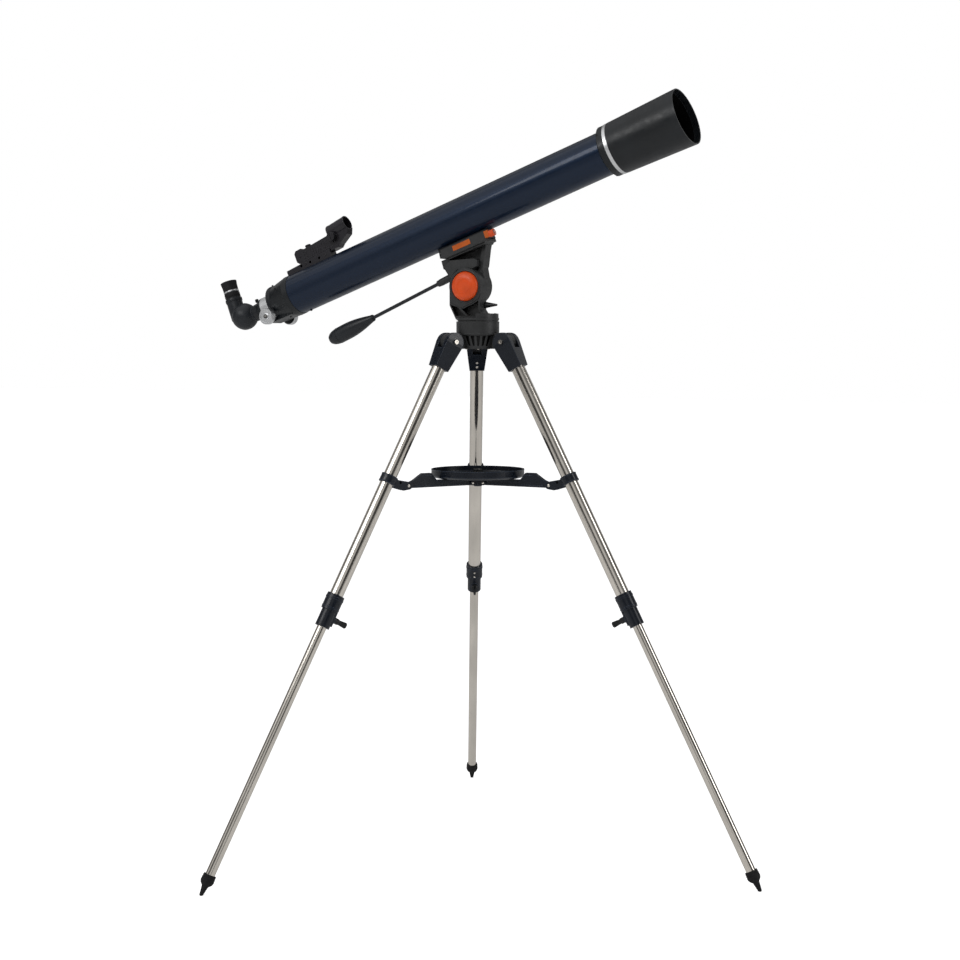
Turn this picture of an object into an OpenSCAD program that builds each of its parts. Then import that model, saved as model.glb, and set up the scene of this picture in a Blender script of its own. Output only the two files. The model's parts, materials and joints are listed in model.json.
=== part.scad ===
// Refractor telescope on an alt-azimuth head and a folding three-leg tripod.
// +X is the way the tube points, +Z is up, and the origin is on the ground
// under the pan axis. Everything is in millimetres.

/* [Tripod] */
// Height of the leg hinges above the ground
hinge_z = 1215; // [900:5:1400]
// Distance of the leg hinges from the pan axis
hinge_r = 75; // [72:0.5:82]
// Angle of an opened leg from the vertical
leg_tilt = 27.76; // [24:0.1:30]
// Outer diameter of the upper leg tube
upper_od = 31.75; // [30:0.05:33]
// Outer diameter of the lower leg tube
lower_od = 22.2; // [20:0.1:24]
// Wall of both leg tubes
leg_wall = 1.2; // [1:0.1:1.6]
// Distance from the hinge down to the top of the extension collar
collar_at = 647; // [500:1:700]
// Distance from the hinge down to the middle of the brace clip
clip_at = 356; // [356:1:357]
// Height of the brace pivots above the ground
brace_z = 884; // [883:1:885]
// Distance of the outer brace pivots from the pan axis
brace_out_r = 191; // [189:1:192]
// Radius of the accessory tray
tray_r = 110; // [80:1:112]

/* [Head] */
// Radius of the turntable
turntable_r = 50; // [50:0.5:54]
// Height of the underside of the turntable
turntable_z = 1263.4; // [1263.4:0.1:1264]
// Distance of the altitude axis from the pan axis, along X
alt_x = -18.5; // [-19:0.5:-18]
// Height of the altitude axis
alt_z = 1345; // [1344:0.5:1346]
// Radius of the rings round the altitude axis
ring_r = 42.5; // [42:0.1:42.6]
// Radius of the round cap on each ring
cap_r = 34.4; // [30:0.2:36]
// Angle of the tube above the horizontal
elevation = 20.06; // [18:0.5:24]

/* [Telescope tube] */
// Distance from the altitude axis up to the axis of the tube
tube_w = 157; // [157:0.5:158]
// Outer radius of the tube
tube_r = 49.9; // [49.8:0.1:50]
// Front end of the tube, measured along its axis from the saddle
tube_front = 354; // [340:1:400]
// Rear end of the tube, measured the same way
tube_rear = -549; // [-549:1:-540]
// Radius of the dew shield at its mouth
dew_r = 65.6; // [65:0.1:68]
// Length of the dew shield
dew_len = 174; // [120:1:200]
// Radius of the focus knobs
focus_knob_r = 20; // [15:0.5:21]
// Outer diameter of the eyepiece and diagonal barrels
barrel_od = 31.75; // [31.7:0.05:31.8]

/* [Hidden] */
$fn = 72;
fit = 0.05;      // radial clearance of a shaft in its hole
gap = 0.4;       // space between parts that move past each other
eps = 0.01;
leg_len = hinge_z / cos(leg_tilt);
upper_r = upper_od / 2;
lower_r = lower_od / 2;
barrel_r = barrel_od / 2;

// tripod, measured from the hinge down the leg
socket_end = 69;
socket_r = 22;
lug_half = 11;
bolt_r = 4;
bolt_half = 27.5;
collar_r = 20.5;
collar_len = 79;
collar_step = 38;
clip_h = 20;
clip_r = 19.6;
cheek_in = 5.5;
cheek_out = 8.5;
brace_in_r = 18;
brace_half = 5;
brace_len = brace_out_r - brace_in_r;
brace_end_r = 6;
brace_pin_r = 2.5;
tray_z = 896;
tray_h = 20;
lock_at = 701;
foot_top = 1324;

// head
hub_r = 50.5;
hub_low_z = 1199;
hub_mid_z = 1231.5;
post_r = 9;
post_top_z = 1298;
arm_in = 6;
ring_in = arm_in + gap;
arm_out = 27;
axle_r = 8;
lock_z = 1301.5;
saddle_low = 80;
saddle_top = 103.5;
saddle_rear = -34;
saddle_front = 87;
saddle_half = 26;
clamp_y = -21.5;
clamp_w = 92;
handle_r = 4.3;
handle_u = -91;
handle_y = 17;
handle_w = 41;
handle_dip = 3.4;
rod_len = 196;
grip_len = 140;
grip_r = 20;

// telescope, measured along the tube axis from the saddle
tube_u = 77;
tube_wall = 1.5;
cell_len = 20;
trim_len = 8;
cell_r = 59;
dew_rear = tube_front + cell_len + trim_len;
dew_front = dew_rear + dew_len;
housing_end = -610;
draw_r = 28;
draw_end = -643;
back_end = -673;
pinion_s = -615;
pinion_h = -32;
pinion_r = 6;
diag_s = -712;
eye_s = -730;
holder_top = 57.4;
eyepiece_top = 79.4;
finder_s = -444.3;
finder_h = 69.8;
finder_lift = 3;

// colours
charcoal = [0.20, 0.20, 0.205];
black = [0.09, 0.095, 0.10];
ink = [0.10, 0.12, 0.15];
navy = [0.07, 0.11, 0.19];
orange = [0.88, 0.32, 0.12];
amber = [0.85, 0.42, 0.08];
steel = [0.74, 0.72, 0.68];
silver = [0.80, 0.81, 0.82];
glass = [0.55, 0.68, 0.75];

// ---- frames and small helpers ----

// Leg n of 3: +Z up the leg from its hinge, +X outward, Y across
module leg_frame(n) {
  rotate([0, 0, 120 * (n - 1)])
    translate([hinge_r, 0, hinge_z])
      rotate([0, -leg_tilt, 0])
        children();
}

// Vertical plane of leg n: X outward from the pan axis, Z up from the ground
module spoke_frame(n) {
  rotate([0, 0, 120 * (n - 1)])
    children();
}

// Cradle: X along the tube, Z square to it, origin on the altitude axis
module cradle_frame() {
  translate([alt_x, 0, alt_z])
    rotate([0, -elevation, 0])
      children();
}

// Telescope: X forward along the tube axis, Z square to it
module tube_frame() {
  cradle_frame()
    translate([tube_u, 0, tube_w])
      children();
}

// Handle: X forward along the rod, origin at the mouth of its socket
module handle_frame() {
  cradle_frame()
    translate([handle_u, handle_y, handle_w])
      rotate([0, -handle_dip, 0])
        children();
}

// Finder sight: raised slightly at the front
module finder_frame() {
  tube_frame()
    translate([finder_s, 0, finder_h])
      rotate([0, -finder_lift, 0])
        children();
}

// A 2D outline drawn in X and Z, made solid between y0 and y1
module plate(y0, y1) {
  translate([0, y1, 0])
    rotate([90, 0, 0])
      linear_extrude(y1 - y0)
        children();
}

// The same outline made solid on both sides of the middle, y0 to y1 away from it
module both_plates(y0, y1) {
  plate(y0, y1)
    children();
  plate(-y1, -y0)
    children();
}

// A cylinder along X from x0 to x1
module bar_x(x0, x1, r) {
  translate([x0, 0, 0])
    rotate([0, 90, 0])
      cylinder(h = x1 - x0, r = r);
}

// A cylinder along Y from y0 to y1
module bar_y(y0, y1, r) {
  translate([0, y1, 0])
    rotate([90, 0, 0])
      cylinder(h = y1 - y0, r = r);
}

// A cylinder along Z from z0 to z1
module bar_z(z0, z1, r) {
  translate([0, 0, z0])
    cylinder(h = z1 - z0, r = r);
}

// A profile of [x, radius] points turned about the X axis
module turned_x(points) {
  rotate([0, 90, 0])
    rotate_extrude()
      polygon([for (p = points) [p[1], p[0]]]);
}

// A box from one corner to the other
module block(low, high) {
  translate(low)
    cube(high - low);
}

// ---- tripod ----

module hub() {
  color(charcoal)
    difference() {
      union() {
        bar_z(hub_mid_z, turntable_z - gap, hub_r);
        translate([0, 0, hub_low_z])
          cylinder(h = hub_mid_z - hub_low_z, r1 = 43, r2 = 47.5);
        for (n = [1 : 3])
          spoke_frame(n)
            hub_lug();
      }
      bar_z(hub_low_z - 1, turntable_z, post_r + fit);
      bar_z(hub_low_z - 1, hub_low_z + 7, 15);
      for (n = [1 : 3])
        spoke_frame(n)
          for (k = [-2 : 2])
            rotate([0, 0, 60 + 17 * k])
              hub_slot(-2.8 * k);
    }
}

// Tongue that a leg socket straddles
module hub_lug() {
  difference() {
    plate(-lug_half, lug_half)
      union() {
        translate([hinge_r, hinge_z])
          circle(r = socket_r - 1);
        translate([30, hub_low_z])
          square([hinge_r - 30, socket_r + hinge_z - hub_low_z - 1]);
      }
    translate([hinge_r, 0, hinge_z])
      bar_y(-lug_half - 1, lug_half + 1, bolt_r + fit);
  }
}

// Slot between two ribs of the lower hub, narrower at the bottom and leaning
module hub_slot(lean) {
  translate([38, 0, 0])
    rotate([90, 0, 90])
      linear_extrude(20)
        polygon([[lean - 2, hub_low_z + 7], [lean + 2, hub_low_z + 7],
                 [4.5, hub_mid_z - 2], [-4.5, hub_mid_z - 2]]);
}

// Three hinge bolts, each with a head and a nut
module hub_bolts() {
  color(silver)
    for (n = [1 : 3])
      spoke_frame(n)
        translate([hinge_r, 0, hinge_z])
          difference() {
            union() {
              bar_y(-bolt_half, bolt_half, bolt_r);
              for (side = [-1, 1])
                translate([0, side * (bolt_half + 0.5), 0])
                  bar_y(-2, 2, 5.2);
            }
            for (side = [-1, 1])
              translate([0, side * (bolt_half + 2.5), 0])
                bar_y(-1.5, 1.5, 2.6);
          }
}

module leg_socket(n) {
  top_half = 25;
  low_half = 17.8;
  bend = -8;
  color(ink)
    leg_frame(n)
      difference() {
        intersection() {
          plate(-top_half, top_half)
            polygon(concat([for (turn = [0 : 6 : 180]) [socket_r * cos(turn), socket_r * sin(turn)]],
                           [[-socket_r, bend], [-low_half, -socket_end], [low_half, -socket_end],
                            [socket_r, bend]]));
          rotate([90, 0, 90])
            translate([0, 0, -30])
              linear_extrude(60)
                polygon([[-top_half + 3, 30], [top_half - 3, 30], [top_half, 0], [top_half, bend],
                         [low_half, -socket_end], [-low_half, -socket_end], [-top_half, bend],
                         [-top_half, 0]]);
        }
        block([-30, -lug_half - gap, -socket_r - 2], [30, lug_half + gap, 30]);
        bar_y(-30, 30, bolt_r + fit);
        bar_z(-socket_end - 1, -28, upper_r + fit);
      }
}

module upper_leg_tube(n) {
  color(steel)
    leg_frame(n)
      difference() {
        bar_z(-collar_at - collar_step - 4, -30, upper_r);
        bar_z(-collar_at - collar_step - 5, -29, upper_r - leg_wall);
      }
}

module extension_collar(n) {
  low = -collar_at - collar_len;
  step = -collar_at - collar_step;
  color(ink)
    leg_frame(n)
      difference() {
        union() {
          bar_z(step, -collar_at, collar_r);
          bar_z(low, step + 1, 17);
          intersection() {
            bar_z(low + 8, step + 1, collar_r);
            block([-collar_r, -12, low], [0, 12, step + 1]);
          }
          translate([0, 0, -lock_at])
            bar_x(-collar_r - 2, -8, 8);
        }
        bar_z(step - 5, 0, upper_r + fit);
        bar_z(low - 1, step, lower_r + fit);
        translate([0, 0, -lock_at])
          bar_x(-30, -12, 3 + fit);
      }
}

module lock_knob(n) {
  color(black)
    leg_frame(n)
      translate([0, 0, -lock_at]) {
        bar_x(-24, -12.6, 3);
        bar_x(-33, -collar_r - 2 - gap, 6.5);
        plate(-2.4, 2.4)
          polygon([[-29, -5], [-53, -7], [-56, -4], [-56, 4], [-53, 7], [-29, 5]]);
      }
}

module lower_leg_tube(n) {
  color(steel)
    leg_frame(n)
      difference() {
        bar_z(-foot_top - 10, -630, lower_r);
        bar_z(-foot_top - 11, -629, lower_r - leg_wall);
      }
}

// Rubber foot, cut flat where it stands on the ground
module foot(n) {
  tip_r = 4.4;
  tip_z = -leg_len + tip_r * 0.7;
  color(black)
    difference() {
      leg_frame(n)
        difference() {
          union() {
            rotate_extrude()
              polygon([[0, -foot_top], [14.3, -foot_top], [15.3, -foot_top - 16], [13.5, -foot_top - 21],
                       [7.6, -foot_top - 27], [tip_r, tip_z], [0, tip_z]]);
            translate([0, 0, tip_z])
              sphere(r = tip_r);
          }
          bar_z(-foot_top - 12, -foot_top + 1, lower_r + fit);
        }
      block([-leg_len, -leg_len, -60], [leg_len, leg_len, 0]);
    }
}

// Ring round the upper tube, with two cheeks that hold the brace arm
module brace_clip(n) {
  color(ink)
    difference() {
      union() {
        leg_frame(n)
          bar_z(-clip_at - clip_h / 2, -clip_at + clip_h / 2, clip_r);
        spoke_frame(n)
          both_plates(cheek_in, cheek_out)
            clip_cheek();
      }
      leg_frame(n)
        bar_z(-clip_at - 60, -clip_at + 60, upper_r + fit);
    }
}

module clip_cheek() {
  leg_r = hinge_r + clip_at * sin(leg_tilt);
  leg_z = hinge_z - clip_at * cos(leg_tilt);
  union() {
    translate([brace_out_r, brace_z])
      circle(r = 9);
    polygon([[brace_out_r, brace_z + 9], [brace_out_r, brace_z - 9], [brace_out_r + 14, brace_z - 11],
             [leg_r - 9, leg_z - 19], [leg_r - 9, leg_z + 2], [leg_r - 24, leg_z - 2]]);
  }
}

// Arched arm from the clip to the middle of the brace
module brace_arm(n) {
  color(ink)
    spoke_frame(n)
      difference() {
        plate(-brace_half, brace_half)
          union() {
            translate([brace_out_r, brace_z])
              circle(r = brace_end_r);
            translate([brace_in_r, brace_z])
              circle(r = brace_end_r);
            polygon([[brace_in_r, brace_z - brace_end_r], [brace_out_r, brace_z - brace_end_r],
                     [brace_out_r, brace_z + brace_end_r], [brace_out_r - 13, brace_z + 11],
                     [brace_out_r - 38, brace_z + 27], [brace_out_r - 62, brace_z + 27],
                     [brace_out_r - 76, brace_z + 10.5], [brace_in_r + 12, brace_z + 10.5],
                     [brace_in_r, brace_z + brace_end_r]]);
          }
        translate([brace_in_r, 0, brace_z])
          bar_y(-brace_half - 1, brace_half + 1, brace_pin_r + fit);
      }
}

// Middle of the brace: a column with three clevises and their pins
module brace_centre() {
  color(ink)
    difference() {
      union() {
        bar_z(brace_z - 9, tray_z - gap, 9.5);
        for (n = [1 : 3])
          spoke_frame(n) {
            both_plates(cheek_in, cheek_out)
              union() {
                translate([brace_in_r, brace_z])
                  circle(r = 6.5);
                translate([4, brace_z - 6.5])
                  square([brace_in_r - 4, 13]);
              }
            translate([brace_in_r, 0, brace_z])
              bar_y(-cheek_out, cheek_out, brace_pin_r);
          }
      }
      bar_z(brace_z - 10, tray_z - 3, 3 + fit);
    }
}

// Shallow dish that rests on the brace
module tray() {
  floor_h = 3;
  rim = 2.6;
  boss_r = 15;
  color(ink)
    translate([0, 0, tray_z])
      rotate_extrude()
        polygon([[0, 0], [tray_r - 7, 0], [tray_r - 2, 3], [tray_r, 5], [tray_r, tray_h],
                 [tray_r - rim, tray_h], [tray_r - rim, 9], [tray_r - 6, floor_h + 1.5],
                 [tray_r - 10, floor_h], [boss_r, floor_h], [boss_r - 2, floor_h + 6],
                 [3 + fit, floor_h + 6], [3 + fit, floor_h], [0, floor_h]]);
}

// Knob on the boss of the tray that holds the tray down
module tray_knob() {
  low = tray_z + 9 + gap;
  color(black) {
    bar_z(tray_z + 4, low + 1, 3);
    difference() {
      bar_z(low, tray_z + tray_h - 1, 11.5);
      for (turn = [0 : 60 : 300])
        rotate([0, 0, turn])
          translate([13, 0, low - 1])
            cylinder(h = 15, r = 3.5);
    }
  }
}

// ---- alt-azimuth head ----

module azimuth_post() {
  color(steel) {
    bar_z(hub_low_z + 1, post_top_z, post_r);
    bar_z(hub_low_z + 0.5, hub_low_z + 6.5, 14);
  }
}

// Outline of the fork's arm, seen from the near side
module arm_outline() {
  union() {
    translate([alt_x, alt_z])
      circle(r = ring_r);
    polygon([[alt_x - ring_r, alt_z], [-61, 1301], [-44, 1268], [36, 1268], [24, 1284],
             [19.5, 1291], [19.5, 1316], [alt_x + ring_r, alt_z]]);
  }
}

// Raised rim round the cap, drawn down to a point below
module rim_outline() {
  difference() {
    union() {
      translate([alt_x, alt_z])
        circle(r = ring_r);
      polygon([[alt_x - 41, 1333], [-59, 1309], [-39, 1299.5], [-33, 1296], [-25, 1296.5],
               [2, 1308], [18, 1318], [alt_x + 41, 1333]]);
    }
    translate([alt_x, alt_z])
      circle(r = cap_r + 1);
  }
}

// Hollows below the ring, with a rib between them
module arm_hollow() {
  polygon([[-58, 1302], [-41, 1297], [-37, 1294], [-18, 1276], [-45, 1276]]);
  polygon([[-30, 1293.5], [-24, 1293], [3, 1304.5], [16, 1312], [16, 1290], [21, 1283],
           [26, 1276], [-11, 1276]]);
}

// Turntable with a column round the pan axis and one thick arm beside it
module fork() {
  base_top = turntable_z + 8;
  groove_h = 2.6;
  column_r = 16;
  column_top = 1301;
  color(charcoal)
    difference() {
      union() {
        bar_z(turntable_z, turntable_z + groove_h + 0.1, turntable_r - 2.5);
        bar_z(turntable_z + groove_h, base_top, turntable_r);
        intersection() {
          bar_z(turntable_z, base_top + 10, turntable_r - 1.2);
          block([19, -60, turntable_z], [60, 60, base_top + 10]);
        }
        intersection() {
          plate(-arm_out, arm_in)
            arm_outline();
          block([-100, -40, turntable_z], [100, 40, 1400]);
        }
        plate(-arm_out - 1.5, -arm_out + 1)
          rim_outline();
        bar_z(turntable_z, column_top, column_r);
      }
      bar_z(turntable_z - 1, post_top_z + 1, post_r + fit);
      plate(-30, -12)
        arm_hollow();
      translate([alt_x, 0, alt_z]) {
        bar_y(-30, -24.5, cap_r + 0.3);
        bar_y(-40, 40, axle_r + fit);
      }
      translate([0, 0, lock_z])
        bar_x(8, 40, 3 + fit);
    }
}

// Domed cap over an end of the altitude axle
module altitude_cap(side) {
  dome = 12;
  flat_r = 17;
  steps = 10;
  profile = [for (i = [0 : steps]) [flat_r + (cap_r - flat_r) * cos(90 * (1 - i / steps)),
                                    dome * sin(90 * (1 - i / steps))]];
  color(orange)
    translate([alt_x, side * (arm_out + 1), alt_z])
      rotate([-90 * side, 0, 0])
        union() {
          rotate_extrude()
            polygon(concat([[0, 0], [0, dome]], profile));
          translate([0, 0, -3.2])
            cylinder(h = 3.3, r = cap_r);
        }
}

module altitude_axle() {
  color(steel)
    translate([alt_x, 0, alt_z])
      bar_y(-24, 24, axle_r);
}

// Tapered lever that clamps the pan axis
module azimuth_lock() {
  color(black)
    translate([0, 0, lock_z]) {
      bar_x(post_r + 0.6, 24, 3);
      turned_x([[20, 0], [20, 6.6], [26, 6.6], [51, 2.2], [53, 0]]);
    }
}

// Front beam of the cradle, from the saddle down to the ring
module spine_outline() {
  polygon([[66, 81], [39, 35.5], [30, 20], [42, 0], [46.5, 28.5], [50, 32], [67.6, 66], [76.5, 81]]);
}

// Back wall of the cradle between the ring, the saddle and the spine
module web_outline() {
  polygon([[-30, 78], [-46, 60], [-48, 33], [-30, 28], [30, 20], [42, 30], [68, 78]]);
}

// Swelling over the fork's ring on the near side
module belly_outline() {
  polygon([[-42, 58], [-36, 68], [-22, 73], [0, 66.5], [25, 59], [41, 53.5], [46, 48], [40, 36],
           [0, 30], [-36, 36]]);
}

module cradle() {
  under = saddle_low - 4;
  arm_clearance = 4.5;
  color(charcoal)
    cradle_frame()
      difference() {
        union() {
          bar_y(ring_in, arm_out, ring_r);
          plate(-5, 24)
            spine_outline();
          plate(ring_in, 24)
            web_outline();
          plate(-20, 8)
            belly_outline();
          plate(-saddle_half, saddle_half)
            polygon([[-28, saddle_low], [saddle_rear - 2, 96], [saddle_rear, saddle_top],
                     [saddle_front, saddle_top], [saddle_front, saddle_low]]);
          plate(-22, 22)
            polygon([[-22, under], [79, under], [83, saddle_low + 1], [-26, saddle_low + 1]]);
          plate(-12, 12)
            polygon([[-48, 82], [-49, 62], [-40, 54], [-26, 54], [-26, 82]]);
          translate([handle_u, handle_y, handle_w])
            rotate([0, -handle_dip, 0])
              turned_x([[0, 0], [0, 6], [2, 7.6], [12, 8.6], [50, 9], [50, 0]]);
        }
        bar_y(-28, ring_in, ring_r + gap);
        intersection() {
          bar_y(-28, ring_in, ring_r + arm_clearance);
          block([-60, -28, 0], [-8, ring_in, 52]);
        }
        bar_y(-40, 40, axle_r + fit);
        bar_y(24.5, 30, cap_r + 0.3);
        saddle_slot();
        clamp_channel();
        translate([handle_u, handle_y, handle_w])
          rotate([0, -handle_dip, 0])
            bar_x(-1, 34, handle_r + fit);
      }
}

// Dovetail groove along the top of the saddle
module saddle_slot() {
  rotate([90, 0, 90])
    translate([0, 0, saddle_rear - 3])
      linear_extrude(saddle_front - saddle_rear + 4)
        polygon([[-18.4, 86.6], [18.4, 86.6], [15.4, 101], [15.4, 110], [-15.4, 110], [-15.4, 101]]);
}

// Space for the clamp bar in the side wall of the saddle
module clamp_channel() {
  block([-2.3, -24.8, 88.2], [saddle_front + 1, -18.6, 100.8]);
  block([-2.3, -27, 88.2], [47.3, -18.6, 100.8]);
}

module clamp_bar() {
  color(amber)
    cradle_frame()
      difference() {
        union() {
          block([-2, -24.5, 88.5], [saddle_front + 1, -19.2, 100.5]);
          block([-2, -26.3, 88.5], [47, -19.2, 100.5]);
          block([saddle_front + gap, -26.3, 86], [saddle_front + 12, -18.6, 102]);
        }
        translate([0, clamp_y, clamp_w])
          bar_x(saddle_front + 8.5, saddle_front + 20, 2.2 + fit);
      }
}

module clamp_knob() {
  color(orange)
    cradle_frame()
      translate([0, clamp_y, clamp_w]) {
        bar_x(saddle_front + 9, saddle_front + 14, 2.2);
        translate([saddle_front + 12.4, 0, 0])
          rotate([0, 90, 0])
            cylinder(h = 13, r = 8.5, $fn = 8);
      }
}

module handle_rod() {
  color(black)
    handle_frame()
      bar_x(-rod_len - 20, 32, handle_r);
}

// Grip: narrow where the rod enters, full towards its rounded end
module handle_grip() {
  neck_r = 7;
  full_at = 0.6;
  steps = 28;
  profile = [for (i = [0 : steps])
             let (t = i / steps, swell = neck_r + (grip_r - neck_r) * sin(90 * min(1, t / full_at)),
                  end = max(0, (t - full_at) / (1 - full_at)))
             [-rod_len - grip_len * t, max(0.5, swell * sqrt(1 - pow(end, 4)))]];
  color(black)
    handle_frame()
      difference() {
        turned_x(concat([[-rod_len, 0]], profile, [[-rod_len - grip_len, 0]]));
        bar_x(-rod_len - 22, -rod_len + 1, handle_r + fit);
      }
}

// ---- telescope ----

module main_tube() {
  color(navy)
    tube_frame()
      difference() {
        bar_x(tube_rear, tube_front, tube_r);
        bar_x(tube_rear - 1, tube_front + 1, tube_r - tube_wall);
      }
}

// Dovetail bar under the tube, shaped to the tube on top
module dovetail_bar() {
  under = tube_w - tube_r;
  color(charcoal)
    difference() {
      cradle_frame()
        union() {
          rotate([90, 0, 90])
            translate([0, 0, saddle_rear - 12])
              linear_extrude(saddle_front - saddle_rear + 17)
                polygon([[-18, 87], [18, 87], [15, 101], [15, under + 2.3], [-15, under + 2.3], [-15, 101]]);
        }
      tube_frame()
        bar_x(-300, 300, tube_r + fit);
    }
}

module lens_cell() {
  front = tube_front + cell_len;
  color(black)
    tube_frame()
      turned_x([[tube_front - 14, 44], [tube_front - 14, tube_r - tube_wall - fit],
                [tube_front + fit, tube_r - tube_wall - fit], [tube_front + fit, tube_r + 1],
                [tube_front + 5, cell_r], [front - fit, cell_r], [front - fit, 46.1],
                [tube_front + 4, 46.1], [tube_front + 4, 44]]);
}

module trim_ring() {
  rear = tube_front + cell_len;
  color(silver)
    tube_frame()
      turned_x([[rear, 50], [rear, cell_r + 0.8], [rear + trim_len, cell_r + 0.8], [rear + trim_len, 50]]);
}

// Flared shade in front of the lens, with a straight bore at its mouth
module dew_shield() {
  rear = dew_rear + fit;
  lip = dew_front - 14;
  bore = dew_r - 3;
  color(black)
    tube_frame()
      turned_x([[rear, 51], [rear, cell_r + 1.2], [dew_front - 3, dew_r], [dew_front, dew_r],
                [dew_front, bore], [lip, bore], [lip, bore - 1.5], [rear + 6, cell_r - 2.5],
                [rear + 4, 51]]);
}

// Front lens, curved on both faces
module objective_lens() {
  steps = 10;
  rear = tube_front + 5;
  lens_r = 46;
  bulge = 3;
  front_face = [for (i = [0 : steps]) [rear + 9 + bulge * (1 - pow(i / steps, 2)), lens_r * i / steps]];
  rear_face = [for (i = [0 : steps]) [rear + bulge * pow(1 - i / steps, 2), lens_r * (1 - i / steps)]];
  color(glass)
    tube_frame()
      turned_x(concat(front_face, rear_face));
}

// Rear casting: a cone off the tube with the pinion block under it
module focuser_housing() {
  rear_plane = tube_rear - fit;
  inner_r = tube_r - tube_wall - fit;
  block_end = -630;
  color(black)
    tube_frame()
      difference() {
        union() {
          turned_x([[tube_rear + 12, 0], [tube_rear + 12, inner_r], [rear_plane, inner_r],
                    [rear_plane, tube_r + 0.5], [-556, tube_r + 0.5], [-600, 42], [-603, 44],
                    [housing_end, 44], [housing_end, 0]]);
          plate(-24, 24)
            polygon([[-556, -30], [-560, -46], [block_end, -44], [block_end, -20]]);
        }
        bar_x(block_end - 1, tube_rear + 13, draw_r + fit);
        turned_x([[-592, 0], [-592, 30], [-564, 44], [tube_rear + 13, 44], [tube_rear + 13, 0]]);
        translate([pinion_s, 0, pinion_h]) {
          bar_y(-40, 40, 3 + fit);
          bar_y(-7, 7, pinion_r + 1);
        }
      }
}

// Sliding tube with its rack underneath
module drawtube() {
  rack_h = pinion_h + pinion_r + gap;
  color(silver)
    tube_frame()
      difference() {
        union() {
          difference() {
            bar_x(draw_end, -470, draw_r);
            bar_x(draw_end - 1, -469, draw_r - 2);
          }
          block([draw_end + 8, -7, rack_h], [-500, 7, rack_h + 3]);
        }
        block([draw_end - 1, -15, -draw_r - 1], [-469, 15, rack_h]);
      }
}

module focus_shaft() {
  color(steel)
    tube_frame()
      translate([pinion_s, 0, pinion_h]) {
        bar_y(-50, 50, 3);
        bar_y(-6, 6, pinion_r);
      }
}

module focus_knobs() {
  color(silver)
    tube_frame()
      translate([pinion_s, 0, pinion_h])
        for (side = [-1, 1])
          rotate([-90 * side, 0, 0])
            rotate_extrude()
              polygon([[3 + fit, 38], [9, 38], [9, 42], [focus_knob_r - 1, 42], [focus_knob_r, 43],
                       [focus_knob_r, 56], [focus_knob_r - 1.5, 58], [15, 58], [13, 55],
                       [7, 55], [6, 57], [3 + fit, 57]]);
}

// Adapter on the drawtube, with its clamping screw
module visual_back() {
  spigot_r = draw_r - 2 - fit;
  bore_r = barrel_r + fit;
  color(black)
    tube_frame()
      union() {
        turned_x([[draw_end + 7, bore_r], [draw_end + 7, spigot_r], [draw_end - fit, spigot_r],
                  [draw_end - fit, draw_r - 0.1], [draw_end - 5, draw_r - 0.1], [draw_end - 18, 21.5],
                  [back_end, 20.5], [back_end, bore_r]]);
        translate([back_end + 9, 0, 0]) {
          bar_z(barrel_r + 1, 25, 2);
          bar_z(24, 32, 3.6);
        }
      }
}

// Right-angle diagonal: nose, round prism housing and eyepiece holder
module diagonal_body() {
  nose_end = back_end + 22;
  neck_end = back_end - gap;
  color(black)
    tube_frame()
      difference() {
        union() {
          bar_x(diag_s + 10, nose_end, barrel_r);
          turned_x([[diag_s, 0], [diag_s, 17], [neck_end - 10, 17], [neck_end, 20], [neck_end, 0]]);
          translate([diag_s, 0, 4])
            sphere(r = 33.5);
          translate([eye_s, 0, 0]) {
            bar_z(4, holder_top - 6, 20);
            bar_z(holder_top - 8, holder_top, 21);
          }
        }
        bar_x(eye_s + 12, nose_end + 1, 12);
        translate([eye_s, 0, 0]) {
          bar_z(13, holder_top + 1, 12);
          bar_z(27, holder_top + 1, barrel_r + fit);
        }
        plate(-13.4, 13.4)
          prism_outline(0.3);
      }
}

// Triangle of the prism, grown by a margin
module prism_outline(margin) {
  polygon([[eye_s + 13 + margin, 14 + margin], [eye_s - 13 - 2.4 * margin, 14 + margin],
           [eye_s + 13 + margin, -12 - 2.4 * margin]]);
}

module diagonal_prism() {
  color(glass)
    tube_frame()
      plate(-13, 13)
        prism_outline(0);
}

module eyepiece_body() {
  color(black)
    tube_frame()
      translate([eye_s, 0, 0])
        difference() {
          union() {
            bar_z(31, holder_top + 2, barrel_r);
            bar_z(holder_top + gap, eyepiece_top, 19);
          }
          bar_z(30, eyepiece_top - 6, 12.5);
          bar_z(eyepiece_top - 3, eyepiece_top + 1, 9);
        }
}

// Soft rubber cup round the eye lens
module eyepiece_cup() {
  color(black)
    tube_frame()
      translate([eye_s, 0, eyepiece_top + fit])
        rotate_extrude()
          polygon([[11, 0], [19, 0], [19.4, 12], [20.8, 23], [18.6, 23], [16.8, 12], [11, 8]]);
}

// Rail bolted on the tube
module finder_bracket() {
  color(black)
    difference() {
      intersection() {
        tube_frame()
          plate(-13, 13)
            polygon([[-545, 46], [-408, 46], [-408, 80], [-532, 80], [-545, 60]]);
        finder_frame()
          block([-120, -20, -30], [60, 20, -4 - fit]);
      }
      tube_frame()
        bar_x(-600, -300, tube_r + fit);
      tube_frame()
        for (hole_s = [-500, -472, -444])
          translate([hole_s, 0, 57.5])
            bar_y(-20, 20, 3.4);
    }
}

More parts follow.
